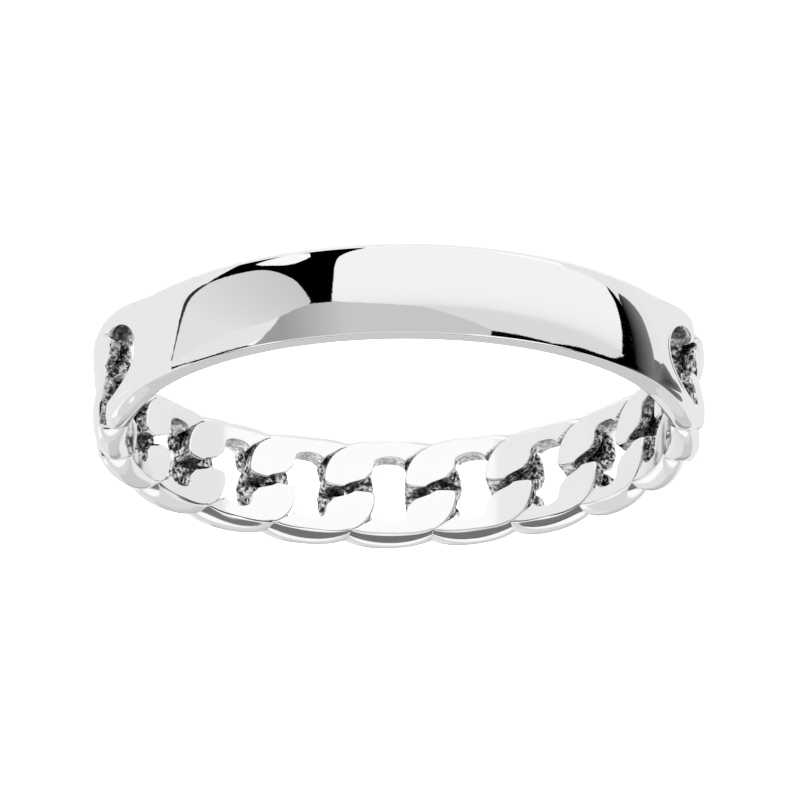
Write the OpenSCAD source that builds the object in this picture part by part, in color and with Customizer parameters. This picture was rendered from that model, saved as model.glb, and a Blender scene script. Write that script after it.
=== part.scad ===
// Chain link ring: a smooth domed plate, and a curb chain that joins its two ends round the finger.
//
// Millimetres, +Z up. The ring lies on its side on the plane z = 0, with its finger hole along Z.
// The plate's middle is towards -Y and the chain's middle towards +Y. The origin is on that plane,
// under the middle of the ring's outer box.
//
// A link is drawn flat first, with x along the chain, y across it and h towards the finger, h = 0
// half way through the metal. Where two links cross, one keeps to the finger's side of h = 0 and the
// other to the far side, by turns, and each dives along the outline of the link that it crosses.
// Then the link is bent round the finger, and its inner side is ground flush with the hole.

/* [Band] */
// Inside diameter of the ring
bore_d = 17.2; // [15:0.1:22]
// Thickness of the chain, from the finger to the links' crests
chain_t = 1.12; // [0.9:0.02:1.6]

/* [Links] */
// Number of links between the plate's two eyes
link_count = 11; // [5:1:13]
// Distance from one link to the next, along the hole's wall
link_pitch = 2.62; // [2.5:0.01:2.9]
// Width of a link, measured over its ground face
link_w = 3.04; // [2.8:0.02:3.4]
// Width of the metal at a link's two ends
end_w = 0.74; // [0.6:0.02:0.84]
// Width of the metal half way between an end and an arm
corner_w = 0.98; // [0.8:0.02:1.06]
// Width of the metal of a link's two arms
arm_w = 0.42; // [0.36:0.02:0.52]
// How far a link's sides swell out beyond its ground face
side_swell = 0.3; // [0.1:0.02:0.36]
// Height of a link's crests above its arms, on the outside of the ring
crest_h = 0.14; // [0.06:0.02:0.2]
// Clear space between the ends of two links that hold each other, along the chain
end_gap = 0.23; // [0.18:0.01:0.36]
// Clear space between two links where one crosses over the other
cross_gap = 0.06; // [0.05:0.01:0.1]

/* [Plate] */
// Width of the plate at its middle
plate_w = 2.94; // [2.6:0.02:3.4]
// Width of the plate at its necks, next to the eyes
neck_w = 2.86; // [2.5:0.02:3.3]
// Thickness of the plate's edges at its middle
edge_t = 0.5; // [0.4:0.02:0.6]
// Thickness of the plate at its middle, over the crown
plate_t = 0.78; // [0.66:0.02:1]
// How far the crown stands above the edges at the necks
neck_crown = 0.2; // [0.1:0.02:0.3]
// Thickness of the plate at its necks, over the crown
neck_t = 0.86; // [0.76:0.02:0.96]
// Distance from an eye's centre to the side of its hole that is next to the plate
eye_reach = 1.7; // [1.3:0.05:2]
// Length over which the plate's necks run into the eyes
neck_run = 0.4; // [0.2:0.05:1]
// Rounding of the plate's outer edges
edge_round = 0.04; // [0.02:0.01:0.1]

/* [Hidden] */
metal = [0.86, 0.87, 0.89];

// The finger hole, and the radius half way through the chain
bore_r = bore_d / 2;
mid_h = chain_t / 2;
mid_r = bore_r + mid_h;
pitch_a = link_pitch / bore_r * 180 / PI;
bore_fn = 180;

// The links' centreline, a rounded oval, and the outlines of their sections
line_x = (link_pitch + end_w + end_gap) / 2;
line_y = (link_w - arm_w) / 2;
half_w = link_w / 2 + side_swell;
line_round = 2.1;
face_round = 4;
side_round = 3;
back_round = 2.5;
// What stands into the hole before it is ground
grind = 0.15;
// Angles of a link's sections in each quarter, from its end to the middle of its arm. They crowd where
// it dives at its end and where it comes up again along the crack
quarter_steps = [0, 4, 9, 14, 26, 39, 51, 59, 66, 73, 81];
link_rings = 4 * len(quarter_steps);
link_sides = 12;

// Where a link dives: from end_dive to full_dive degrees round from its end, and up to crack_gap
// outside the outline of the link that it crosses, over a length of crack_soft
end_dive = 4;
full_dive = 14;
crack_gap = 0.05;
crack_soft = 0.24;

// The plate, from its middle to the centre of its eyes
eye_a = 180 - pitch_a * (link_count + 1) / 2;
hole_y = line_y - arm_w / 2;
arm_t = chain_t - crest_h;
neck_x = eye_reach + arm_w + neck_run;
neck_a = eye_a - neck_x / bore_r * 180 / PI;
plate_rings = 32;
flow_rings = 3;
crown_steps = 12;
// Of an eye's sections, those on the plate's side keep only the points from hole_from to hole_to,
// which line its hole, and the plate grows from the edges that they leave open
hole_from = 2;
hole_to = link_sides - 3;
hole_kept = hole_to - hole_from + 1;
loop_rings = link_rings / 2 + 1;
eye_points = loop_rings * link_sides + (crown_steps - 1) * hole_kept;
side_points = link_sides - hole_kept;
rim_points = 2 * (crown_steps + 1 + side_points);

// The ring's centre in the part's frame
ring_y = (plate_t - chain_t) / 2;

// The angle of section i of a link, whose quarters mirror each other
function link_angle(i) =
    let (n = len(quarter_steps), quarter = floor(i / n), step = i - quarter * n)
    quarter % 2 == 0 ? 90 * quarter + quarter_steps[step]
                     : 90 * quarter + (step == 0 ? 0 : 90 - quarter_steps[n - step]);

function link_name(k) = str("link_", k < 10 ? "0" : "", k);
function spow(v, p) = sign(v) * pow(abs(v), p);
function smooth(a, b, x) = let (u = max(0, min(1, (x - a) / (b - a)))) u * u * (3 - 2 * u);
function mix(a, b, u) = a + (b - a) * u;

// Half the width of a link's metal, c2 and c4 being the cosines of twice and four times its angle
function metal_w(c2, c4) =
    let (m = (end_w + arm_w) / 2)
    (m + corner_w) / 4 + (end_w - arm_w) / 4 * c2 + (m - corner_w) / 4 * c4;

// How far the flat point x, y lies outside the outline of a link whose centre is at x = 0
function outside(x, y) =
    let (
        ax = max(abs(x) / line_x, 1e-6),
        ay = max(abs(y) / line_y, 1e-6),
        n = line_round,
        size = pow(pow(ax, n) + pow(ay, n), 1 / n),
        slope = norm([pow(ax, n - 1) / line_x, pow(ay, n - 1) / line_y]) * pow(size, 1 - n),
        cc = min(pow(ax / size, n), 1),
        c2 = 2 * cc - 1
    )
    (size - 1) / slope - metal_w(c2, 2 * c2 * c2 - 1) - side_swell * (1 - cc);

// 1 where a link dives at its crossing, 0 where it is whole, q being its angle in the quarter
function dive(q, x, y) =
    smooth(end_dive, full_dive, q)
    * (1 - smooth(crack_gap, crack_gap + crack_soft, outside(abs(x) - link_pitch, y)));

// One section of a flat link, at t degrees round its centreline
function link_section(t) =
    let (
        e = 2 / line_round,
        c = cos(t),
        s = sin(t),
        centre = [line_x * spow(c, e), line_y * spow(s, e)],
        // The direction of the centreline is that of its sides' gradient, turned by 90 degrees
        gradient = [spow(c, 2 - e) / line_x, spow(s, 2 - e) / line_y],
        normal = gradient / norm(gradient),
        w = metal_w(cos(2 * t), cos(4 * t)),
        twist = c * s >= 0 ? 1 : -1,
        turn = t - 90 * floor(t / 90),
        q = twist > 0 ? turn : 90 - turn,
        face = mid_h + grind,
        back = mid_h - arm_t - crest_h * sin(2 * t)
    )
    [for (j = [0:link_sides - 1])
        let (
            a = -(j + 0.5) * 360 / link_sides,
            n = sin(a) < 0 ? back_round : cos(a) > 0 ? side_round : face_round,
            out = spow(cos(a), 2 / n) * (w + (cos(a) > 0 ? side_swell * s * s : 0)),
            p = centre + normal * out,
            d = dive(q, p[0], p[1]),
            top = twist > 0 ? mix(face, -cross_gap / 2, d) : face,
            low = twist > 0 ? back : mix(back, cross_gap / 2, d)
        )
        [p[0], p[1], (top + low) / 2 + (top - low) / 2 * spow(sin(a), 2 / n)]
    ];

// A flat point, bent round the finger at angle a from +Y
function bent(p, a) =
    let (r = mid_r - p[2], b = a + p[0] / bore_r * 180 / PI)
    [r * sin(b), r * cos(b), p[1]];

// Faces of a tube of n rings with m points each, closed on itself
function tube_faces(n, m) =
    [for (i = [0:n - 1], j = [0:m - 1])
        let (i2 = (i + 1) % n, j2 = (j + 1) % m)
        each [[i * m + j, i2 * m + j, i2 * m + j2], [i * m + j, i2 * m + j2, i * m + j2]]];

module finger_hole() {
    cylinder(h = 4 * half_w, d = bore_d, center = true, $fn = bore_fn);
}

// The link whose centre is a degrees round from the chain's middle
module bent_link(a) {
    sections = [for (i = [0:link_rings - 1]) link_section(link_angle(i))];
    difference() {
        polyhedron(
            points = [for (ring = sections) each [for (p = ring) bent(p, a)]],
            faces = tube_faces(link_rings, link_sides),
            convexity = 6
        );
        finger_hole();
    }
}

module chain_link(k) {
    color(metal) translate([0, ring_y, half_w]) bent_link((k - (link_count + 1) / 2) * pitch_a);
}

// One section of an eye on the plate's side of its centre, where only the hole's wall is drawn
function hole_section(t) =
    let (
        e = 2 / line_round,
        edge = [eye_reach * spow(cos(t), e), hole_y * spow(sin(t), e)],
        gradient = [spow(cos(t), 2 - e) / eye_reach, spow(sin(t), 2 - e) / hole_y],
        normal = gradient / norm(gradient),
        low = mid_h - mix(neck_t, arm_t, pow(sin(t), 2)),
        top = mid_h + grind
    )
    [for (j = [hole_from:hole_to])
        let (
            a = -(j + 0.5) * 360 / link_sides,
            n = sin(a) < 0 ? back_round : cos(a) > 0 ? side_round : face_round,
            p = edge + normal * arm_w / 2 * (1 + spow(cos(a), 2 / n))
        )
        [p[0], p[1], (top + low) / 2 + (top - low) / 2 * spow(sin(a), 2 / n)]
    ];

// All the points of an eye, flat: the loop that the chain hangs on, then the hole's plate side
function eye_flat() = concat(
    [for (i = [0:loop_rings - 1]) each link_section(link_angle(i + len(quarter_steps)))],
    [for (i = [1:crown_steps - 1]) each hole_section(-90 + i * 180 / crown_steps)]
);

// Place in that list of point j of section i
function eye_index(i, j) =
    i < loop_rings ? i * link_sides + j : loop_rings * link_sides + (i - loop_rings) * hole_kept + j - hole_from;

function eye_faces() =
    let (n = loop_rings + crown_steps - 1)
    [for (i = [0:n - 1], j = [0:link_sides - 1])
        let (i2 = (i + 1) % n, j2 = (j + 1) % link_sides)
        if (i < loop_rings - 1 || (j >= hole_from && j < hole_to))
            each [[eye_index(i, j), eye_index(i2, j), eye_index(i2, j2)],
                  [eye_index(i, j), eye_index(i2, j2), eye_index(i, j2)]]
    ];

// The open rim of an eye, round from the lower outside edge: outside, upper side, inside, lower side
function eye_rim() =
    let (row = concat([loop_rings - 1], [for (i = [1:crown_steps - 1]) loop_rings - 1 + i], [0]))
    concat(
        [for (i = [0:crown_steps]) eye_index(row[i], hole_from)],
        [for (j = [1:side_points]) eye_index(0, (hole_from - j + link_sides) % link_sides)],
        [for (i = [crown_steps:-1:0]) eye_index(row[i], hole_to)],
        [for (j = [1:side_points]) eye_index(loop_rings - 1, (hole_to + j) % link_sides)]
    );

// One section of the plate, x along the finger's wall from the eye's centre, in the rim's order
function plate_section(x) =
    let (
        a = eye_a - x / bore_r * 180 / PI,
        bend = (1 - cos(a)) / (1 - cos(neck_a)),
        w = mix(plate_w, neck_w, smooth(0, neck_a, a)) / 2,
        edge = mix(edge_t, neck_t - neck_crown, bend),
        crown = mix(plate_t - edge_t, neck_crown, bend),
        last = side_points - 1,
        side = [for (i = [0:last]) [w, mid_h - edge * (1 - i / side_points)]]
    )
    concat(
        [for (i = [0:crown_steps])
            let (z = (w - edge_round) * sin(-90 + 180 * i / crown_steps))
            [x, z, mid_h - edge - crown * (1 - pow(z / w, 2))]],
        [for (p = side) [x, p[0], p[1]]],
        [for (i = [0:crown_steps]) [x, w * cos(180 * i / crown_steps), mid_h + grind]],
        [for (i = [last:-1:0]) [x, -side[i][0], side[i][1]]]
    );

// The plate's own rings from the eye at +X to the middle: first those that flow from its rim
function half_plate(rim) =
    let (neck = plate_section(neck_x), middle = eye_a * PI / 180 * bore_r)
    concat(
        [for (i = [1:flow_rings])
            [for (m = [0:rim_points - 1]) mix(rim[m], neck[m], i / (flow_rings + 1))]],
        [for (i = [0:plate_rings / 2]) plate_section(mix(neck_x, middle, 2 * i / plate_rings))]
    );

// Half a turn about Y takes one eye to the other, and a rim's point m to the rim's point turned_m(m)
function turned(p) = [-p[0], p[1], -p[2]];
function turned_m(m) = (crown_steps - m + rim_points) % rim_points;

module id_plate() {
    flat_eye = eye_flat();
    rim = eye_rim();
    at_eye = 180 - eye_a;
    half = half_plate([for (i = rim) flat_eye[i]]);
    eye = [for (p = flat_eye) bent(p, at_eye)];
    half_bent = [for (ring = half) [for (p = ring) bent(p, at_eye)]];
    other = [for (r = [len(half) - 2:-1:0]) [for (m = [0:rim_points - 1]) turned(half_bent[r][turned_m(m)])]];
    own = concat(half_bent, other);
    first = 2 * eye_points;
    rings = concat(
        [rim],
        [for (r = [0:len(own) - 1]) [for (m = [0:rim_points - 1]) first + r * rim_points + m]],
        [[for (m = [0:rim_points - 1]) eye_points + rim[turned_m(m)]]]
    );
    one_eye = eye_faces();
    color(metal) translate([0, ring_y, half_w]) difference() {
        polyhedron(
            points = concat(eye, [for (p = eye) turned(p)], [for (ring = own) each ring]),
            faces = concat(
                one_eye,
                [for (f = one_eye) [for (i = f) i + eye_points]],
                [for (r = [0:len(rings) - 2], m = [0:rim_points - 1])
                    let (m2 = (m + 1) % rim_points)
                    each [[rings[r][m], rings[r + 1][m2], rings[r][m2]],
                          [rings[r][m], rings[r + 1][m], rings[r + 1][m2]]]]
            ),
            convexity = 8
        );
        finger_hole();
    }
}

id_plate();
for (k = [1:link_count]) {
    chain_link(k);
}
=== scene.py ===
# Looks of the chain link ring: fine meshes and metal for its solids, a pale floor, light and camera.
# Blender works in metres. The ring's sizes are in millimetres, the same as in the part's source.
from math import cos, pi, radians, sin

import bpy
import numpy as np
from mathutils import Matrix, Vector


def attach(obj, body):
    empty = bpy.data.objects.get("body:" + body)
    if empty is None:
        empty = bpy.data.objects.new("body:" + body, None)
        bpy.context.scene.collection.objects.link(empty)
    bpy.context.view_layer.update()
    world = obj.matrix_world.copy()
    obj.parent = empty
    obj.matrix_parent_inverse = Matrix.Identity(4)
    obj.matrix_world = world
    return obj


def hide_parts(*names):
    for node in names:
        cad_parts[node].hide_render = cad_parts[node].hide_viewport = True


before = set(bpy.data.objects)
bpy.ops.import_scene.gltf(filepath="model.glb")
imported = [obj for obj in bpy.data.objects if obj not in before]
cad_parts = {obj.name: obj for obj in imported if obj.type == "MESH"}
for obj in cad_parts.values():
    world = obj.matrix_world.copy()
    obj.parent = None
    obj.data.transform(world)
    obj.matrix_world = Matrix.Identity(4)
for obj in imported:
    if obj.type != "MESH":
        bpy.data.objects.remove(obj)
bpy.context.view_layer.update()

MM = 0.001

# The ring is drawn flat first: x along it, y across it and h towards the finger, h = 0 being half way
# through the chain's thickness. Then it is bent round the finger.

# The band: the finger hole's radius, and the chain's thickness
BORE_R = 8.6
CHAIN_T = 1.12

# The links: their number, the distance from one to the next, and their width over the ground face
LINK_COUNT = 11
PITCH = 2.62
LINK_W = 3.04
# Width of a link's metal at its ends, at its corners and at its arms
END_W = 0.74
CORNER_W = 0.98
ARM_W = 0.42
# How far the sides swell out beyond the ground face, and the crests stand above the arms
SIDE_SWELL = 0.3
CREST_H = 0.14
# Clear space between the ends of two links that hold each other, and where one link crosses over the other
END_GAP = 0.23
CROSS_GAP = 0.06

# The plate: its width at the middle and at the necks, and its thickness at the middle's edges and crown
PLATE_W = 2.94
NECK_W = 2.86
EDGE_T = 0.5
PLATE_T = 0.78
# At the necks: the crown's height above the edges, and the thickness over the crown
NECK_CROWN = 0.2
NECK_T = 0.86
# From an eye's centre to its hole's side next to the plate, and the run of a neck into an eye
EYE_REACH = 1.7
NECK_RUN = 0.4

# Powers of the rounded ovals: a link's centreline, and its metal's section at the hole's side of the face,
# at the outer side of the face, and at the back
LINE_ROUND = 2.1
FACE_ROUND = 4
SIDE_ROUND = 3
BACK_ROUND = 2.5
# What stands into the finger hole before it is ground
GRIND = 0.15
# A link starts to dive at its crossing, and is right down, this many degrees round from its end
END_DIVE = 4
FULL_DIVE = 14

# Down to the cast skin follow forms that are finer here than in the solids, or that only these meshes have.
# In a pair, a form starts to come in at the first value and is full at the second. Where the name says
# OUT, it starts to go at the first and is gone at the second. IN and OUT are degrees from a link's end.

# A dive ends this far outside the outline of the link that is crossed, or inside it where negative, and
# fades over this length
CRACK_GAP = -0.07
CRACK_SOFT = 0.05
# Rounding of the ground faces' edges and of the plate's edges
GROUND_ROUND = 0.05
EDGE_ROUND = 0.05
# The ground face starts to sink, and is gone, at these degrees from a link's end. They are positive on the
# quarter that passes inside the next link, and negative past the end.
FACE_END = 7
FACE_GONE = -6
# The sides swell out in full up to this height, and at the ground face they keep this share of the swell
FLANK_LOW = -0.05
FACE_SWELL = 0.1
# The hole's side of a section, whose s runs from -1 at the hole to 1 at the outer side
INNER_SIDE = (0.3, -0.9)
# There a lobe spreads over the next link's end. It reaches this far towards its own link's middle, and
# goes outwards by this share of that.
LOBE_REACH = 0.56
LOBE_LIFT = 0.1
LOBE_IN = (9, 17)
LOBE_OUT = (30, 88)
# A link's ends are filled out by this on the hole's side, below the ground face
END_FILL = 0.1
FILL_OUT = (10, 20)
FILL_HEIGHTS = (0.1, -0.2)
# Between two lobes the crevice runs slantwise, with this slope, and less of it beside the hole
LOBE_SLANT = 0.5
HOLE_SLANT = 0.12
SLANT_IN = (4, 14)
SLANT_OUT = (45, 80)
# Outside, the quarter of an eye that is over spreads this far across the end of the link in the eye. Its
# degrees are counted past the eye's end. It is on the hole's side, below these heights, and keeps no cast
# skin, and so no painted shade, at the back.
EYE_SPREAD = 1.0
SPREAD_IN = (-20, 5)
SPREAD_OUT = (50, 88)
SPREAD_SIDE = (-0.2, -0.9)
SPREAD_HEIGHTS = (0.15, -0.1)
SPREAD_BACK = (-0.2, -0.5)

# The cast skin, whose pits carry painted shade, shows below the ground face, from these depths
CAST_AND_SHADE_DEPTHS = (0.01, 0.1)
# It is on a section's hole's side and, near a link's end, on its outer side. A section's v runs from -1 at
# the back to 1 at the face.
HOLE_SIDE_S = (-0.2, -0.8)
HOLE_SIDE_V = (-0.75, -0.45)
END_SIDE_S = (0.5, 0.95)
END_SIDE_V = (-0.6, -0.2)
END_SIDE_OUT = (30, 55)
# Of the hole's side, this share is polished at the middle of the arms
ARM_POLISH = 0.5
ARM_POLISH_IN = (60, 80)
# Where links cross, it comes in between these places of v, one below and one above the section's middle
CROSSED_V = 0.3

# Worked out from the sizes, the angles in radians
MID_H = CHAIN_T / 2
MID_R = BORE_R + MID_H
PITCH_A = PITCH / BORE_R
LINE_X = (PITCH + END_W + END_GAP) / 2
LINE_Y = (LINK_W - ARM_W) / 2
HALF_W = LINK_W / 2 + SIDE_SWELL
ARM_T = CHAIN_T - CREST_H
RING_Y = (PLATE_T - CHAIN_T) / 2
EYE_A = pi - PITCH_A * (LINK_COUNT + 1) / 2
HOLE_Y = LINE_Y - ARM_W / 2
NECK_X = EYE_REACH + ARM_W + NECK_RUN
NECK_A = EYE_A - NECK_X / BORE_R
RING_CENTRE = Vector((0, RING_Y, HALF_W))

# How fine the meshes are: steps round a link, round its section and across the plate's crown
LINK_RINGS = 288
SECTION_POINTS = 84
CROWN_STEPS = 48
# Steps along half the plate, between an eye and its neck, and round an edge of the plate
PLATE_STEPS = 90
FLOW_STEPS = 14
EDGE_STEPS = 5

# Numbers that stand in for nought where rounding errors would matter
TINY = 1e-6
ROUNDING_ERROR = 1e-9


def spow(v, p):
    """A power of v that keeps its sign"""
    return np.sign(v) * np.abs(v) ** p


def smooth(a, b, x):
    """0 at a and 1 at b, with a smooth rise between them and level beyond them. b may be the lower one."""
    u = np.clip((x - a) / (b - a), 0, 1)
    return u * u * (3 - 2 * u)


def mix(a, b, u):
    return a + (b - a) * u


def section_point(a):
    """A point of a section's outline, at the angle a. The outline runs from -1 to 1 both ways: s from the
    hole's side to the outer side, and v from the back to the face."""
    n = np.where(np.sin(a) < 0, BACK_ROUND, np.where(np.cos(a) > 0, SIDE_ROUND, FACE_ROUND))
    return spow(np.cos(a), 2 / n), spow(np.sin(a), 2 / n)


def unit_section(count):
    """A section's outline as evenly spaced points. It starts at the outer side and goes round by the back,
    the hole's side and the face."""
    fine_steps = 20000
    # The points are evenly spaced on a section whose width is this share of its height
    width_share = 0.8
    a = -np.linspace(0, 2 * pi, fine_steps + 1)
    s, v = section_point(a)
    run = np.concatenate([[0], np.cumsum(np.hypot(np.diff(s) * width_share, np.diff(v)))])
    at = np.interp((np.arange(count) + 0.5) / count * run[-1], run, a)
    return at, *section_point(at)


SECTION_A, SECTION_S, SECTION_V = unit_section(SECTION_POINTS)


def metal_w(c2, c4):
    """Half the width of a link's metal, from the cosines of twice and four times its angle"""
    m = (END_W + ARM_W) / 2
    return (m + CORNER_W) / 4 + (END_W - ARM_W) / 4 * c2 + (m - CORNER_W) / 4 * c4


def outside(x, y):
    """How far a flat point lies outside the outline of a link whose centre is at x = 0"""
    ax, ay = np.maximum(abs(x) / LINE_X, TINY), np.maximum(abs(y) / LINE_Y, TINY)
    n = LINE_ROUND
    size = (ax**n + ay**n) ** (1 / n)
    slope = np.hypot(ax ** (n - 1) / LINE_X, ay ** (n - 1) / LINE_Y) * size ** (1 - n)
    cc = np.minimum((ax / size) ** n, 1)
    c2 = 2 * cc - 1
    return (size - 1) / slope - metal_w(c2, 2 * c2**2 - 1) - FACE_SWELL * SIDE_SWELL * (1 - cc) ** 2


def ground(h):
    """Heights cut off level with the finger hole's wall, with a slightly rounded edge"""
    near = np.maximum(GROUND_ROUND - np.abs(h - MID_H), 0)
    return np.minimum(h, MID_H) - near**2 / (4 * GROUND_ROUND)


def line_frame(t, reach_x, reach_y):
    """Points and outward normals of a rounded oval at the angles t"""
    e = 2 / LINE_ROUND
    c, s = np.cos(t), np.sin(t)
    centre = np.stack([reach_x * spow(c, e), reach_y * spow(s, e)], -1)
    normal = np.stack([spow(c, 2 - e) / reach_x, spow(s, 2 - e) / reach_y], -1)
    return centre, normal / np.linalg.norm(normal, axis=-1, keepdims=True)


def link_skin(t):
    """Flat points of a link's skin, a section for each angle of t, and how rough the casting is there and
    how much painted shade it gets
    """
    t = np.asarray(t, float)[:, None]
    centre, normal = line_frame(t[:, 0], LINE_X, LINE_Y)
    w = metal_w(np.cos(2 * t), np.cos(4 * t))
    s, v = SECTION_S[None, :], SECTION_V[None, :]
    swell = np.where(s > 0, SIDE_SWELL * np.sin(t) ** 4, 0)
    flat = centre[:, None] + normal[:, None] * (s * (w + FACE_SWELL * swell))[..., None]
    # A quarter that is over passes outside the next link, seen from the finger, and the others inside it
    over = np.cos(t) * np.sin(t) >= -ROUNDING_ERROR
    turn = np.degrees(t) % 180
    q = np.minimum(turn, 180 - turn)
    # Where the next link covers this one, the skin dives out of its way
    clear = outside(abs(flat[..., 0]) - PITCH, flat[..., 1])
    covered = 1 - smooth(CRACK_GAP, CRACK_GAP + CRACK_SOFT, clear)
    dive = smooth(END_DIVE, FULL_DIVE, q) * covered
    top_dive = smooth(FACE_END, FACE_GONE, np.where(over, -q, q)) * covered
    back = MID_H - ARM_T - CREST_H * np.sin(2 * t)
    top = mix(MID_H + GRIND, -CROSS_GAP / 2, top_dive)
    low = np.where(over, back, mix(back, CROSS_GAP / 2, dive))
    h = (top + low) / 2 + (top - low) / 2 * v
    # The sides swell out below the face
    rise = np.clip((h - FLANK_LOW) / (MID_H - FLANK_LOW), 0, 1)
    out = s * (w + swell * mix(1, FACE_SWELL, rise**2))
    x = centre[:, :1] + normal[:, :1] * out
    y = centre[:, 1:] + normal[:, 1:] * out
    # The lobes, the filled ends, and the slant of the crevice beyond the middle between two links
    inner = smooth(*INNER_SIDE, s)
    lobe = LOBE_REACH * smooth(*LOBE_IN, q) * (1 - smooth(*LOBE_OUT, q)) * inner
    lobe = lobe + END_FILL * (1 - smooth(*FILL_OUT, q)) * inner * smooth(*FILL_HEIGHTS, h)
    x = x - np.sign(x) * lobe
    y = y + np.sign(y) * LOBE_LIFT * lobe
    slanted = inner * smooth(*SLANT_IN, q) * (1 - smooth(*SLANT_OUT, q)) * ~over
    past = abs(x) - PITCH / 2
    y = y + np.sign(x) * past * np.where(past > 0, LOBE_SLANT, HOLE_SLANT) * slanted
    return np.stack([x, y, ground(h)], -1), cast_skin_and_shade(s, v, h, over, q, dive, top_dive)


def below_face(h):
    """0 on the ground face, and 1 below it"""
    return smooth(MID_H - CAST_AND_SHADE_DEPTHS[0], MID_H - CAST_AND_SHADE_DEPTHS[1], h)


def hole_side(s, v):
    """1 on the side of a section that faces its hole"""
    return smooth(*HOLE_SIDE_S, s) * smooth(*HOLE_SIDE_V, v)


def cast_skin_and_shade(s, v, h, over, q, dive, top_dive):
    """How rough a link's skin is, and how much painted shade darkens its pits: where it faces its hole, the
    next link's end or a link that crosses it, the recesses where shade falls
    """
    at_hole = hole_side(s, v) * (1 - ARM_POLISH * smooth(*ARM_POLISH_IN, q))
    at_end = smooth(*END_SIDE_S, s) * smooth(*END_SIDE_V, v) * (1 - smooth(*END_SIDE_OUT, q))
    face_crossed = top_dive * smooth(-CROSSED_V, CROSSED_V, v)
    back_crossed = dive * smooth(CROSSED_V, -CROSSED_V, v)
    crossed = np.where(over, face_crossed, back_crossed)
    return (1 - (1 - at_hole) * (1 - at_end) * (1 - crossed)) * below_face(h)


def bent(p, a):
    """Flat points, bent round the finger at the angle a from +Y"""
    r, b = MID_R - p[..., 2], a + p[..., 0] / BORE_R
    return np.stack([r * np.sin(b), r * np.cos(b), p[..., 1]], -1)


def tube_faces(rings, points):
    """Faces of a closed ring of closed sections"""
    i, j = np.meshgrid(np.arange(rings), np.arange(points), indexing="ij")
    i2, j2 = (i + 1) % rings, (j + 1) % points
    quad = [i * points + j, i * points + j2, i2 * points + j2, i2 * points + j]
    return np.stack(quad, -1).reshape(-1, 4)


def make_piece(name, points, faces, cast_and_shade, metal, nodes):
    """A piece from points in millimetres round the ring's centre, riding on the ring"""
    mesh = bpy.data.meshes.new(name)
    placed = (points.reshape(-1, 3) + np.array(RING_CENTRE)) * MM
    mesh.from_pydata(placed.tolist(), [], faces.tolist())
    mesh.update()
    mesh.polygons.foreach_set("use_smooth", [True] * len(mesh.polygons))
    # The share of cast skin at each point, which also sets the painted shade in its pits
    attribute = mesh.attributes.new("cast_and_shade", "FLOAT", "POINT")
    attribute.data.foreach_set("value", np.asarray(cast_and_shade, np.float32).ravel())
    mesh.materials.append(metal)
    piece = bpy.data.objects.new(name, mesh)
    bpy.context.scene.collection.objects.link(piece)
    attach(piece, "root")
    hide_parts(*nodes)


# Of an eye's sections, those on the plate's side keep only the points that line its hole, between these
# angles of the section
HOLE_ARC = (75, 285)
HOLE_FROM, HOLE_TO = [int(np.argmin(abs(SECTION_A + radians(angle)))) for angle in HOLE_ARC]
HOLE_KEPT = HOLE_TO - HOLE_FROM + 1
SIDE_POINTS = SECTION_POINTS - HOLE_KEPT
RIM_POINTS = 2 * (CROWN_STEPS + 1 + SIDE_POINTS)
LOOP_RINGS = LINK_RINGS // 2 + 1


def plate_section(x):
    """One section of the plate, x along the finger's wall from the eye's centre, in the rim's order"""
    a = EYE_A - x / BORE_R
    bend = (1 - np.cos(a)) / (1 - cos(NECK_A))
    w = mix(PLATE_W, NECK_W, smooth(0, NECK_A, a)) / 2
    edge = mix(EDGE_T, NECK_T - NECK_CROWN, bend)
    crown = mix(PLATE_T - EDGE_T, NECK_CROWN, bend)
    # The crown, on the ring's outside
    z = (w - EDGE_ROUND) * np.sin(np.linspace(-pi / 2, pi / 2, CROWN_STEPS + 1))
    outer = np.stack([z, MID_H - edge - crown * (1 - (z / w) ** 2)], -1)
    # The upper side, from its rounded edge to the finger hole's wall, and the same for the lower side
    arc = (np.arange(EDGE_STEPS) + 1) / EDGE_STEPS * pi / 2
    round_z = w - EDGE_ROUND * (1 - np.sin(arc))
    round_h = MID_H - edge + EDGE_ROUND * (1 - np.cos(arc))
    flat = np.linspace(round_h[-1], MID_H + GRIND, SIDE_POINTS - EDGE_STEPS + 2)[1:-1]
    side = np.stack([np.append(round_z, np.full(len(flat), w)), np.append(round_h, flat)], -1)
    lower = side[::-1] * [-1, 1]
    # The wall of the finger hole
    inner_z = w * np.cos(np.linspace(0, pi, CROWN_STEPS + 1))
    inner = np.stack([inner_z, np.full(len(inner_z), MID_H + GRIND)], -1)
    return np.concatenate([outer, side, inner, lower])


def hole_sections(t):
    """Sections of an eye's hole on the plate's side, and how rough the casting is there and how much
    painted shade it gets
    """
    t = np.asarray(t, float)[:, None]
    edge, normal = line_frame(t, EYE_REACH, HOLE_Y)
    s, v = SECTION_S[None, HOLE_FROM : HOLE_TO + 1], SECTION_V[None, HOLE_FROM : HOLE_TO + 1]
    low = MID_H - mix(NECK_T, ARM_T, np.sin(t) ** 2)
    top = MID_H + GRIND
    out = ARM_W / 2 * (1 + s)
    h = (top + low) / 2 + (top - low) / 2 * v
    points = np.stack([edge[..., 0] + normal[..., 0] * out, edge[..., 1] + normal[..., 1] * out, h], -1)
    return points, hole_side(s, v) * below_face(h)


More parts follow.
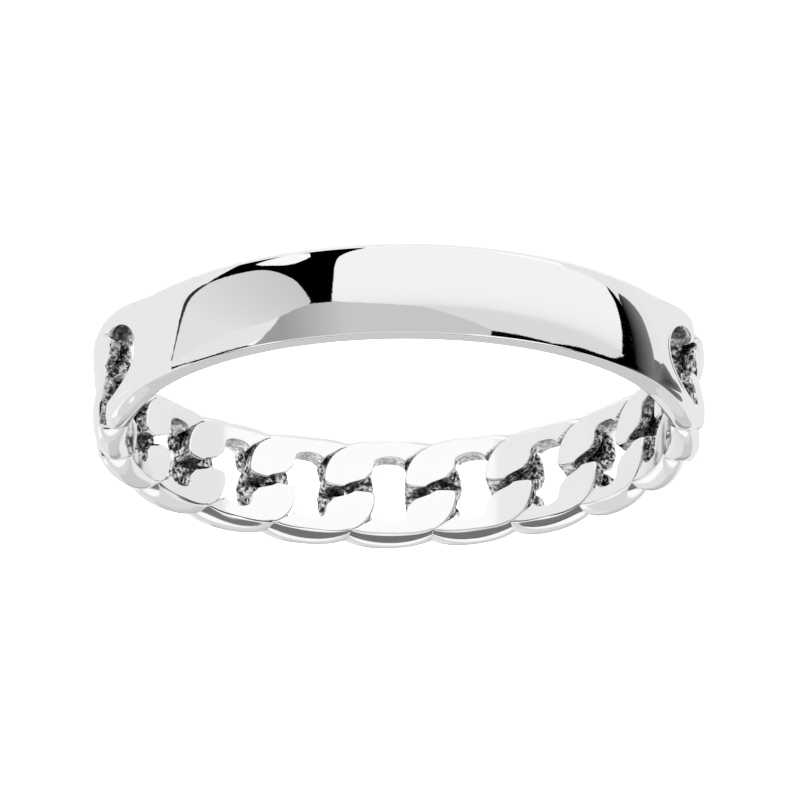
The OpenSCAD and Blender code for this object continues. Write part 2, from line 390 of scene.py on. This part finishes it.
def eye_loop():
    """Points of the loop that is an eye's part away from the plate, and how rough the casting is there and
    how much painted shade it gets
    """
    t = np.linspace(pi / 2, 3 * pi / 2, LOOP_RINGS)
    loop, cast_and_shade = link_skin(t)
    # The quarter that is over spreads across the end of the link in the eye
    past_end = np.degrees(t) - 180
    spread = (smooth(*SPREAD_IN, past_end) * (1 - smooth(*SPREAD_OUT, past_end)))[:, None]
    spread = spread * smooth(*SPREAD_SIDE, SECTION_S)
    spread = spread * smooth(*SPREAD_HEIGHTS, loop[..., 2])
    loop[..., 0] += EYE_SPREAD * spread
    return loop, cast_and_shade * (1 - spread * smooth(*SPREAD_BACK, SECTION_V))


def eye_index(i, j):
    """Place of point j of section i in an eye's list: the loop's whole sections come first"""
    if i < LOOP_RINGS:
        return i * SECTION_POINTS + j
    return LOOP_RINGS * SECTION_POINTS + (i - LOOP_RINGS) * HOLE_KEPT + j - HOLE_FROM


def eye_faces():
    """Faces of an eye: all round its loop's sections, and along its hole's lining beside the plate"""
    count = LOOP_RINGS + CROWN_STEPS - 1
    faces = []
    for i in range(count):
        i2 = (i + 1) % count
        for j in range(SECTION_POINTS):
            j2 = (j + 1) % SECTION_POINTS
            if i < LOOP_RINGS - 1 or HOLE_FROM <= j < HOLE_TO:
                faces.append([eye_index(i, j), eye_index(i, j2), eye_index(i2, j2), eye_index(i2, j)])
    return np.array(faces)


def eye_rim():
    """The edge that an eye leaves open for the plate: outside, one side, inside and the other side"""
    row = [LOOP_RINGS - 1] + [LOOP_RINGS + i for i in range(CROWN_STEPS - 1)] + [0]
    sides = range(1, SIDE_POINTS + 1)
    rim = [eye_index(i, HOLE_FROM) for i in row]
    rim += [eye_index(0, (HOLE_FROM - j) % SECTION_POINTS) for j in sides]
    rim += [eye_index(i, HOLE_TO) for i in reversed(row)]
    rim += [eye_index(LOOP_RINGS - 1, (HOLE_TO + j) % SECTION_POINTS) for j in sides]
    return np.array(rim)


def flow_ring(rim, u):
    """A ring between an eye's rim and the plate's neck. It leaves the neck in line with the plate."""
    x = mix(rim[:, 0], NECK_X, u)
    own = np.array([plate_section(x[m])[m] for m in range(RIM_POINTS)])
    start = np.array([plate_section(rim[m, 0])[m] for m in range(RIM_POINTS)])
    offset = (rim[:, 1:] - start) * (1 - smooth(0, 1, u))
    return np.column_stack([x, own + offset])


def make_plate(metal):
    """The plate with its eyes, from one eye and half the plate, which half a turn repeats"""
    loop, loop_cast_and_shade = eye_loop()
    lining, lining_cast_and_shade = hole_sections(np.linspace(-pi / 2, pi / 2, CROWN_STEPS + 1)[1:-1])
    eye = np.concatenate([loop.reshape(-1, 3), lining.reshape(-1, 3)])
    cast_and_shade = np.concatenate([loop_cast_and_shade.ravel(), lining_cast_and_shade.ravel()])
    faces, rim = eye_faces(), eye_rim()
    flow = [flow_ring(eye[rim], i / (FLOW_STEPS + 1)) for i in range(1, FLOW_STEPS + 1)]
    middle = EYE_A * BORE_R
    body = []
    for i in range(PLATE_STEPS + 1):
        x = mix(NECK_X, middle, i / PLATE_STEPS)
        section = plate_section(x)
        body.append(np.column_stack([np.full(len(section), x), section]))
    half = np.array(flow + body)
    eye[:, 2] = ground(eye[:, 2])
    half[..., 2] = ground(half[..., 2])
    at_eye = pi - EYE_A
    eye_bent, half_bent = bent(eye, at_eye), bent(half, at_eye)
    turn = np.array([-1, 1, -1])
    turned_m = (CROWN_STEPS - np.arange(RIM_POINTS)) % RIM_POINTS
    other = (half_bent[-2::-1] * turn)[:, turned_m]
    own = np.concatenate([half_bent, other])
    points = np.concatenate([eye_bent, eye_bent * turn, own.reshape(-1, 3)])
    # The rings of the plate's body join one eye's rim to the other's
    first = 2 * len(eye)
    rings = np.arange(len(own) * RIM_POINTS).reshape(len(own), RIM_POINTS) + first
    rings = np.concatenate([[rim], rings, [len(eye) + rim[turned_m]]])
    m2 = (np.arange(RIM_POINTS) + 1) % RIM_POINTS
    strip = np.stack([rings[:-1], rings[:-1][:, m2], rings[1:][:, m2], rings[1:]], -1).reshape(-1, 4)
    all_faces = np.concatenate([faces, faces + len(eye), strip])
    all_cast_and_shade = np.concatenate([cast_and_shade, cast_and_shade, np.zeros(own.shape[0] * own.shape[1])])
    make_piece("bare_plate", points, all_faces, all_cast_and_shade, metal, ["id_plate"])


def make_links(metal):
    """The links, all alike, each bent round the finger at its own place"""
    skin, cast_and_shade = link_skin(np.arange(LINK_RINGS) / LINK_RINGS * 2 * pi)
    faces = tube_faces(LINK_RINGS, SECTION_POINTS)
    for k in range(1, LINK_COUNT + 1):
        points = bent(skin, (k - (LINK_COUNT + 1) / 2) * PITCH_A)
        node = "link_%02d" % k
        make_piece("curb_" + node, points, faces, cast_and_shade, metal, [node])


# Silver: its colour, and the shares of its roughness between which the soft clouds in its polish vary
SILVER = (0.94, 0.94, 0.935, 1)
CLOUDS = (0.6, 1.4)
# The cast skin: its roughness in its pits and on its points, their greys, and the noise that makes them.
# The pits' near black is painted shade, standing in for the shade that falls in the crevices.
CAST_ROUGHNESS = (0.35, 0.12)
PAINTED_PIT_SHADE = 0.05
POINT_GREY = 0.95
PIT_SHADE_NOISE = (0.43, 0.57)
# Scales of the noise in the clouds and in the casting's grain, and its detail
CLOUD_SCALE = 900
GRAIN_SCALE = 8000
NOISE_DETAIL = 3
# Depth of the grain in millimetres, and the share of it that is left under the polish
GRAIN_DEPTH = 0.05
POLISHED_GRAIN = 0.01

# The power that turns a grey of the picture, from 0 to 1, into an amount of light
GREY_POWER = 2.2


def new_material(name):
    material = bpy.data.materials.new(name)
    material.use_nodes = True
    return material, material.node_tree.nodes, material.node_tree.links


def noise(nodes, links, coordinates, scale):
    node = nodes.new("ShaderNodeTexNoise")
    node.inputs["Scale"].default_value = scale
    node.inputs["Detail"].default_value = NOISE_DETAIL
    links.new(coordinates.outputs["Object"], node.inputs["Vector"])
    return node.outputs["Fac"]


def remap(nodes, links, value, low, high, start=0.0, end=1.0):
    """A value from start to end, turned into one from low to high"""
    node = nodes.new("ShaderNodeMapRange")
    node.inputs["From Min"].default_value = start
    node.inputs["From Max"].default_value = end
    node.inputs["To Min"].default_value = low
    node.inputs["To Max"].default_value = high
    links.new(value, node.inputs["Value"])
    return node.outputs["Result"]


def silver(name, roughness):
    """Polished silver. Where the mesh says so, it is the rough skin of the casting, with painted shade in
    its dark pits.
    """
    material, nodes, links = new_material(name)
    shader = nodes["Principled BSDF"]
    shader.inputs["Metallic"].default_value = 1
    coordinates = nodes.new("ShaderNodeTexCoord")
    cast_and_shade = nodes.new("ShaderNodeAttribute")
    cast_and_shade.attribute_name = "cast_and_shade"
    # Polish: soft clouds in the shine, far too faint to see as a pattern
    clouds = noise(nodes, links, coordinates, CLOUD_SCALE)
    polish = remap(nodes, links, clouds, roughness * CLOUDS[0], roughness * CLOUDS[1])
    # Casting: grains about a tenth of a millimetre across, from nearly black pits, which are painted shade,
    # to bright points
    skin = noise(nodes, links, coordinates, GRAIN_SCALE)
    rough = remap(nodes, links, skin, *CAST_ROUGHNESS)
    level = nodes.new("ShaderNodeMix")
    links.new(cast_and_shade.outputs["Fac"], level.inputs["Factor"])
    links.new(polish, level.inputs["A"])
    links.new(rough, level.inputs["B"])
    links.new(level.outputs["Result"], shader.inputs["Roughness"])
    # Painted shade: the pits darken the base colour, standing in for the shade in the crevices between
    # links
    pit_shade = nodes.new("ShaderNodeMix")
    pit_shade.data_type = "RGBA"
    pit_shade.inputs["A"].default_value = (PAINTED_PIT_SHADE, PAINTED_PIT_SHADE, PAINTED_PIT_SHADE, 1)
    pit_shade.inputs["B"].default_value = (POINT_GREY, POINT_GREY, POINT_GREY, 1)
    links.new(remap(nodes, links, skin, 0, 1, *PIT_SHADE_NOISE), pit_shade.inputs["Factor"])
    tint_and_shade = nodes.new("ShaderNodeMix")
    tint_and_shade.data_type = "RGBA"
    tint_and_shade.inputs["A"].default_value = SILVER
    links.new(cast_and_shade.outputs["Fac"], tint_and_shade.inputs["Factor"])
    links.new(pit_shade.outputs["Result"], tint_and_shade.inputs["B"])
    links.new(tint_and_shade.outputs["Result"], shader.inputs["Base Color"])
    # Bumps: the grain of the casting, and a trace of it left under the polish
    grains = nodes.new("ShaderNodeBump")
    grains.inputs["Distance"].default_value = GRAIN_DEPTH * MM
    strength = remap(nodes, links, cast_and_shade.outputs["Fac"], POLISHED_GRAIN, 1)
    links.new(strength, grains.inputs["Strength"])
    links.new(skin, grains.inputs["Height"])
    links.new(grains.outputs["Normal"], shader.inputs["Normal"])
    return material


def azimuth_of(nodes, links, centre):
    """The azimuth in radians of a place round a centre in millimetres, 0 being the plate's side, -Y, and a
    quarter turn +X"""
    coordinates = nodes.new("ShaderNodeTexCoord")
    moved = nodes.new("ShaderNodeVectorMath")
    moved.operation = "SUBTRACT"
    moved.inputs[1].default_value = (centre[0] * MM, centre[1] * MM, 0)
    links.new(coordinates.outputs["Object"], moved.inputs[0])
    parts = nodes.new("ShaderNodeSeparateXYZ")
    links.new(moved.outputs["Vector"], parts.inputs["Vector"])
    ahead = nodes.new("ShaderNodeMath")
    ahead.operation = "MULTIPLY"
    ahead.inputs[1].default_value = -1
    links.new(parts.outputs["Y"], ahead.inputs[0])
    azimuth = nodes.new("ShaderNodeMath")
    azimuth.operation = "ARCTAN2"
    links.new(parts.outputs["X"], azimuth.inputs[0])
    links.new(ahead.outputs["Value"], azimuth.inputs[1])
    return azimuth.outputs["Value"]


def distance_of(nodes, links):
    """The distance of a place from the frame's origin"""
    coordinates = nodes.new("ShaderNodeTexCoord")
    distance = nodes.new("ShaderNodeVectorMath")
    distance.operation = "LENGTH"
    links.new(coordinates.outputs["Object"], distance.inputs[0])
    return distance.outputs["Value"]


def glow_material(name, grey, fade=None, fall=None):
    """Plain light, its brightness given as the grey that the picture shows, from 0 to 1. A fade is a
    second grey, the azimuths in degrees where the first and the second are reached, and their centre in
    mm. A fall is a second grey, and the distances from the frame's origin, in mm, where the two are
    reached."""
    material, nodes, links = new_material(name)
    nodes.remove(nodes["Principled BSDF"])
    glow = nodes.new("ShaderNodeEmission")
    glow.inputs["Color"].default_value = (1, 1, 1, 1)
    light = grey**GREY_POWER
    glow.inputs["Strength"].default_value = light
    links.new(glow.outputs["Emission"], nodes["Material Output"].inputs["Surface"])
    if fade:
        second, start, end, centre = fade
        azimuth = azimuth_of(nodes, links, centre)
        level = remap(nodes, links, azimuth, light, second**GREY_POWER, radians(start), radians(end))
        links.new(level, glow.inputs["Strength"])
    if fall:
        second, near, far = fall
        distance = distance_of(nodes, links)
        level = remap(nodes, links, distance, light, second**GREY_POWER, near * MM, far * MM)
        links.new(level, glow.inputs["Strength"])
    return material


def stage_mesh(name, corners, faces, material):
    """A floor or card, which isn't part of the ring"""
    mesh = bpy.data.meshes.new(name)
    mesh.from_pydata(corners, [], faces)
    mesh.materials.append(material)
    thing = bpy.data.objects.new(name, mesh)
    bpy.context.scene.collection.objects.link(thing)
    return thing


def make_floor():
    material, nodes, links = new_material("pale_floor")
    shader = nodes["Principled BSDF"]
    shader.inputs["Base Color"].default_value = (0.9, 0.9, 0.9, 1)
    shader.inputs["Roughness"].default_value = 0.9
    # Half the floor's side, in metres
    reach = 3.0
    corners = [(-reach, -reach, 0), (reach, -reach, 0), (reach, reach, 0), (-reach, reach, 0)]
    floor = stage_mesh("floor", corners, [(0, 1, 2, 3)], material)
    # The polished ring mirrors the studio and not the floor
    floor.visible_glossy = False


def mirrored_only(card):
    """A card that the camera and the floor don't see: it shows only in the ring's polish"""
    card.visible_camera = False
    card.visible_diffuse = False
    card.visible_shadow = False


def rounded(outline):
    """A closed outline with its blunt corners rounded off by curves. Sharp ones stay."""
    # The turn in degrees from which a corner is sharp, and the points of a curve
    sharp_turn = 50
    curve_points = 7
    p = np.array(outline, float)
    points = []
    for before, corner, after in zip(np.roll(p, 1, 0), p, np.roll(p, -1, 0)):
        arrive, leave = corner - before, after - corner
        turn = np.degrees(abs(np.arctan2(arrive[0] * leave[1] - arrive[1] * leave[0], arrive @ leave)))
        if turn > sharp_turn:
            points.append(corner)
            continue
        for u in np.linspace(0, 1, curve_points):
            points.append(corner - arrive / 2 * (1 - u) ** 2 + leave / 2 * u**2)
    return points


def low_card(name, outline, grey, depth, fade=None, fall=None):
    """A flat card that lies level. Its outline is x and y, and its depth is how far it is below the
    floor, or above it where negative, all in millimetres."""
    corners = [(x * MM, y * MM, -depth * MM) for x, y in rounded(outline)]
    card = stage_mesh(name, corners, [list(range(len(corners)))], glow_material(name, grey, fade, fall))
    mirrored_only(card)


def far_card(name, lower, upper, grey, distance=200, fade=None):
    """A curtain round the ring, at a distance in millimetres. Its edges are points of azimuth and
    elevation in degrees, azimuth 0 being the plate's side and 90 towards +X, and run straight from one
    to the next."""
    # Degrees from one column of points to the next, and the points in a column
    step = 2
    rows = 12
    start, end = lower[0][0], lower[-1][0]
    count = max(2, int(abs(end - start) / step) + 1)
    corners = []
    for azimuth in np.linspace(start, end, count):
        low_e = np.interp(azimuth, [p[0] for p in lower], [p[1] for p in lower])
        high_e = np.interp(azimuth, [p[0] for p in upper], [p[1] for p in upper])
        for elevation in np.linspace(low_e, high_e, rows):
            a, e = radians(azimuth), radians(elevation)
            out = Vector((sin(a) * cos(e), -cos(a) * cos(e), sin(e)))
            corners.append((RING_CENTRE + out * distance) * MM)
    faces = []
    for i in range(count - 1):
        for j in range(rows - 1):
            k = i * rows + j
            faces.append((k, k + rows, k + rows + 1, k + 1))
    mirrored_only(stage_mesh(name, corners, faces, glow_material(name, grey, fade)))


def make_left_cards():
    """Beside the plate on the left: a black flag, and a grey panel inside its outline"""
    low_card(
        "flag_left",
        [(1.5, -9.95), (2.6, -10.1), (3.1, -10.6), (4.2, -13), (10.9, -26.6), (13.4, -24.6), (16, -18),
         (12, -7.2), (8.6, -6.9), (7.4, -7.5), (5, -8.4)],
        grey=0.0, depth=1.02,
    )
    low_card(
        "panel_left",
        [(8.3, -7.1), (7, -8.2), (6.2, -8.85), (5.8, -9.6), (5.8, -10.8), (6.2, -12.2), (8.5, -16.6),
         (13.4, -24.6), (19, -27.5), (41, -46), (120, -100), (200, 8), (26.5, -5.3), (13.1, -6.2),
         (9.9, -6.35)],
        grey=0.79, depth=1.0, fade=(0.9, 27, 62, (0, 0)),
    )
    low_card(
        "panel_left_rim",
        [(8.2, -7.2), (9.9, -6.4), (13.1, -6.25), (26.5, -5.4), (90, 1), (90, 2), (26.5, -5.1), (13.1, -6),
         (9.9, -6.1), (8.5, -6.8)],
        grey=0.2, depth=0.98,
    )
    low_card(
        "spot_left",
        [(5.9, -8.45), (5.8, -8.75), (5.4, -9.2), (5, -9.6), (4.4, -9.75), (3.8, -9.65), (3.7, -9.4),
         (4.2, -9.1)],
        grey=1.0, depth=0.96,
    )


def make_front_cards():
    """In front: a wide pale panel, and a black and a grey flag along its right side"""
    low_card(
        "panel_front",
        [(3.1, -10.6), (2.6, -10.1), (1.2, -9.9), (-2.3, -9.8), (-4.8, -9.1), (-7.3, -7.5), (-8.9, -6.55),
         (-15, -6.45), (-35, -6.4), (-100, -6.4), (-160, -40), (-60, -125), (-15.7, -125), (4.6, -56.5),
         (9.2, -36), (10.9, -26.6), (4.2, -13)],
        grey=0.975, depth=1.0, fall=(0.88, 14, 75),
    )
    low_card(
        "flag_right",
        [(-8.6, -6.7), (-15, -6.5), (-35, -6.45), (-100, -6.4), (-100, -1), (-41.4, -1.9), (-19.3, -5.2),
         (-11.9, -5.8), (-10.4, -6.15)],
        grey=0.0, depth=1.02,
    )
    low_card(
        "grey_right",
        [(-9.4, -6.1), (-10.2, -5.4), (-11.9, -4.4), (-14.2, -3.5), (-25.3, 1.1), (-100, 30), (-100, -1),
         (-41.4, -1.9), (-19.3, -5.2), (-11.9, -5.8), (-10.4, -6.15)],
        grey=0.0, depth=1.04, fade=(0.5, -98, -113, (-7, -6.6)),
    )
    arc = [(-33, 12.5), (-27.5, 9.1), (-18.7, 4.4), (-7.5, -1.7), (5, -4.1), (16, -6.8), (26, -9.6),
           (34, -9.9), (40, -7.8), (44.7, -3.8), (48, 3.4), (53, 9.4), (57, 12)]
    far_card("backdrop_front", arc, [(-33, 40), (57, 40)], grey=0.79, fade=(0.62, 20, 44, (0, 0)))
    far_card("backdrop_front_high", [(-33, 40), (57, 40)], [(-33, 58), (57, 58)], grey=0.86)
    far_card("panel_front_far", [(-97, -14), (46, -14)], [(-97, 14), (46, 14)], grey=0.87, distance=210)


def make_overhead_cards():
    """Overhead: a grey flag with a black strip, mirrored in the flanks of the chain"""
    low_card(
        "flag_overhead",
        [(-170, -70), (170, -70), (170, 118), (70, 78), (0, 62), (-70, 78), (-170, 118)],
        grey=0.45, depth=-200,
    )
    low_card(
        "strip_overhead",
        [(24, 66), (60, 76), (130, 105), (130, 88), (60, 62), (24, 54)],
        grey=0.0, depth=-198,
    )


def make_far_side_cards():
    """Farther off at both sides: black and grey backdrops, with pale panels beside and below them"""
    far_card(
        "backdrop_right",
        [(-97, -6), (-91, -6), (-89, -1.5), (-84.4, 2.9), (-77, 5), (-68, 6.8), (-57, 10.7), (-33, 12.5)],
        [(-97, 40), (-33, 40)],
        grey=0.0,
    )
    far_card(
        "grey_backdrop_right",
        [(-114, -12), (-97, -8)],
        [(-114, 45), (-97, 40)],
        grey=0.5, fade=(0.0, -113, -97, (0, 0)),
    )
    far_card("pale_right", [(-176, -60), (-114, -60)], [(-176, 4), (-114, 45)], grey=0.93)
    far_card("pale_left", [(94, -60), (174, -60)], [(94, 40), (174, 4)], grey=0.93)
    far_card(
        "pale_right_low",
        [(-114, -60), (-80, -60)],
        [(-114, -12), (-97, -8), (-96, -14), (-80, -14)],
        grey=0.92, distance=205,
    )
    far_card("pale_left_low", [(45, -60), (94, -60)], [(45, -6), (94, -6)], grey=0.94, distance=205)
    left_top = [(59.5, 10.6), (75, 7.4), (83, 4.8), (94, 0.4)]
    far_card(
        "panel_left_far",
        [(45, -6), (94, -6)],
        [(45, -3.8), (48, 3.4), (53, 9.4)] + left_top,
        grey=0.92, distance=190,
    )
    far_card("backdrop_left", [(57, 12)] + left_top, [(57, 40), (94, 40)], grey=0.0)


def make_back_cards():
    """Behind the ring, one above the other"""
    far_card("backdrop_back_low", [(174, 3), (246, 3)], [(174, 14), (246, 14)], grey=0.64)
    far_card("backdrop_back", [(174, 14), (246, 14)], [(174, 36), (246, 36)], grey=0.8)
    far_card("backdrop_back_left", [(150, 14.8), (174, 4)], [(150, 36), (174, 36)], grey=0.9)
    far_card("backdrop_back_high", [(100, 36), (260, 36)], [(100, 52), (260, 52)], grey=0.86)


def make_cards():
    """What the polish mirrors: flags and panels round the ring, as in a jewellery studio. Left and right
    are the picture's, the left being +X."""
    make_left_cards()
    make_front_cards()
    make_overhead_cards()
    make_far_side_cards()
    make_back_cards()


def sky(strength):
    """Even white light from all round, behind the cards"""
    world = bpy.data.worlds.new("studio")
    bpy.context.scene.world = world
    world.use_nodes = True
    back = world.node_tree.nodes["Background"]
    back.inputs["Color"].default_value = (1, 1, 1, 1)
    back.inputs["Strength"].default_value = strength


def soft_box(name, place, aim, width, power):
    """A round light that the polish doesn't mirror, with its place, aim and width in metres"""
    data = bpy.data.lights.new(name, "AREA")
    data.shape = "DISK"
    data.size = width
    data.energy = power
    light = bpy.data.objects.new(name, data)
    bpy.context.scene.collection.objects.link(light)
    light.location = place
    light.rotation_euler = (Vector(aim) - Vector(place)).to_track_quat("-Z", "Y").to_euler()
    light.visible_glossy = False


def make_camera():
    """The photograph's view. The ring lies on the floor, and the picture is upside down: the camera is
    rolled over, so that the plate is at the top, as in the photograph."""
    turn, rise, roll = radians(2.0), radians(20.96), radians(180 - 0.6)
    # Millimetres from the ring's centre
    distance = 450
    back = Vector((sin(turn) * cos(rise), -cos(turn) * cos(rise), sin(rise)))
    data = bpy.data.cameras.new("camera")
    data.lens = 639.1
    data.sensor_width = 36
    data.shift_x = 0.0021
    data.shift_y = -0.0076
    data.clip_start = 0.01
    data.clip_end = 10
    camera = bpy.data.objects.new("camera", data)
    bpy.context.scene.collection.objects.link(camera)
    camera.location = (RING_CENTRE + back * distance) * MM
    level = (-back).to_track_quat("-Z", "Y").to_matrix().to_4x4()
    camera.rotation_euler = (level @ Matrix.Rotation(roll, 4, "Z")).to_euler()
    bpy.context.scene.camera = camera


make_camera()
make_links(silver("polished_links", roughness=0.11))
make_plate(silver("polished_plate", roughness=0.035))
make_floor()
make_cards()
sky(1.03)
soft_box("key_light", place=(0.05, -0.6, 0.42), aim=(0, 0, 0), width=0.5, power=25)
bpy.context.scene.view_settings.view_transform = "Standard"
